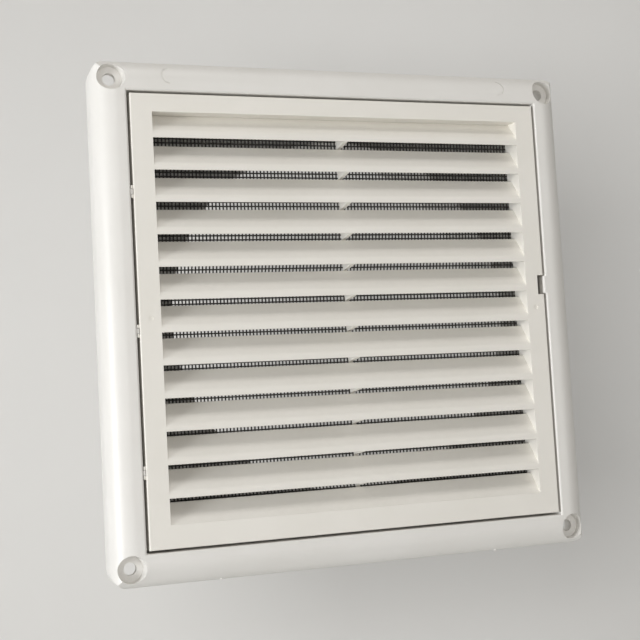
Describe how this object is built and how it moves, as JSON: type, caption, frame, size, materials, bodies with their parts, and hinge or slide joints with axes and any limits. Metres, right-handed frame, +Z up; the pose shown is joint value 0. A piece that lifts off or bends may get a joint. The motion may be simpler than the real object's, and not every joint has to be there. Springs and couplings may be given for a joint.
{
  "type": "louvred air grille",
  "caption": "Square louvred ventilation grille with a side-hinged louvre panel, an insect screen, corner screw wells and a round duct spigot behind.",
  "frame": {"origin": "middle of the wall plane, on the axis of the duct spigot", "axes": "+Z up, +Y into the wall along the duct, +X to the right as seen from the room; the grille faces -Y"},
  "size_m": [0.2, 0.04, 0.2],
  "materials": {
    "frame_plastic": "satin moulded",
    "spigot_plastic": "satin moulded",
    "panel_plastic": "satin moulded",
    "screen_mesh": "coated yarn",
    "retainer_plastic": "satin moulded",
    "pin_steel": "drawn wire"
  },
  "bodies": {
    "frame": {"wall_frame": "frame_plastic", "duct_spigot": "spigot_plastic", "hinge_pin_upper": "pin_steel", "hinge_pin_middle": "pin_steel", "hinge_pin_lower": "pin_steel"},
    "panel": {"louvre_panel": "panel_plastic", "insect_screen": "screen_mesh", "screen_retainer": "retainer_plastic"}
  },
  "joints": [
    {"name": "panel_hinge", "type": "hinge", "parent": "frame", "child": "panel", "pos_m": [-0.0865, -0.0142, 0], "axis": [0, 0, -1], "range_deg": [0, 90]}
  ]
}
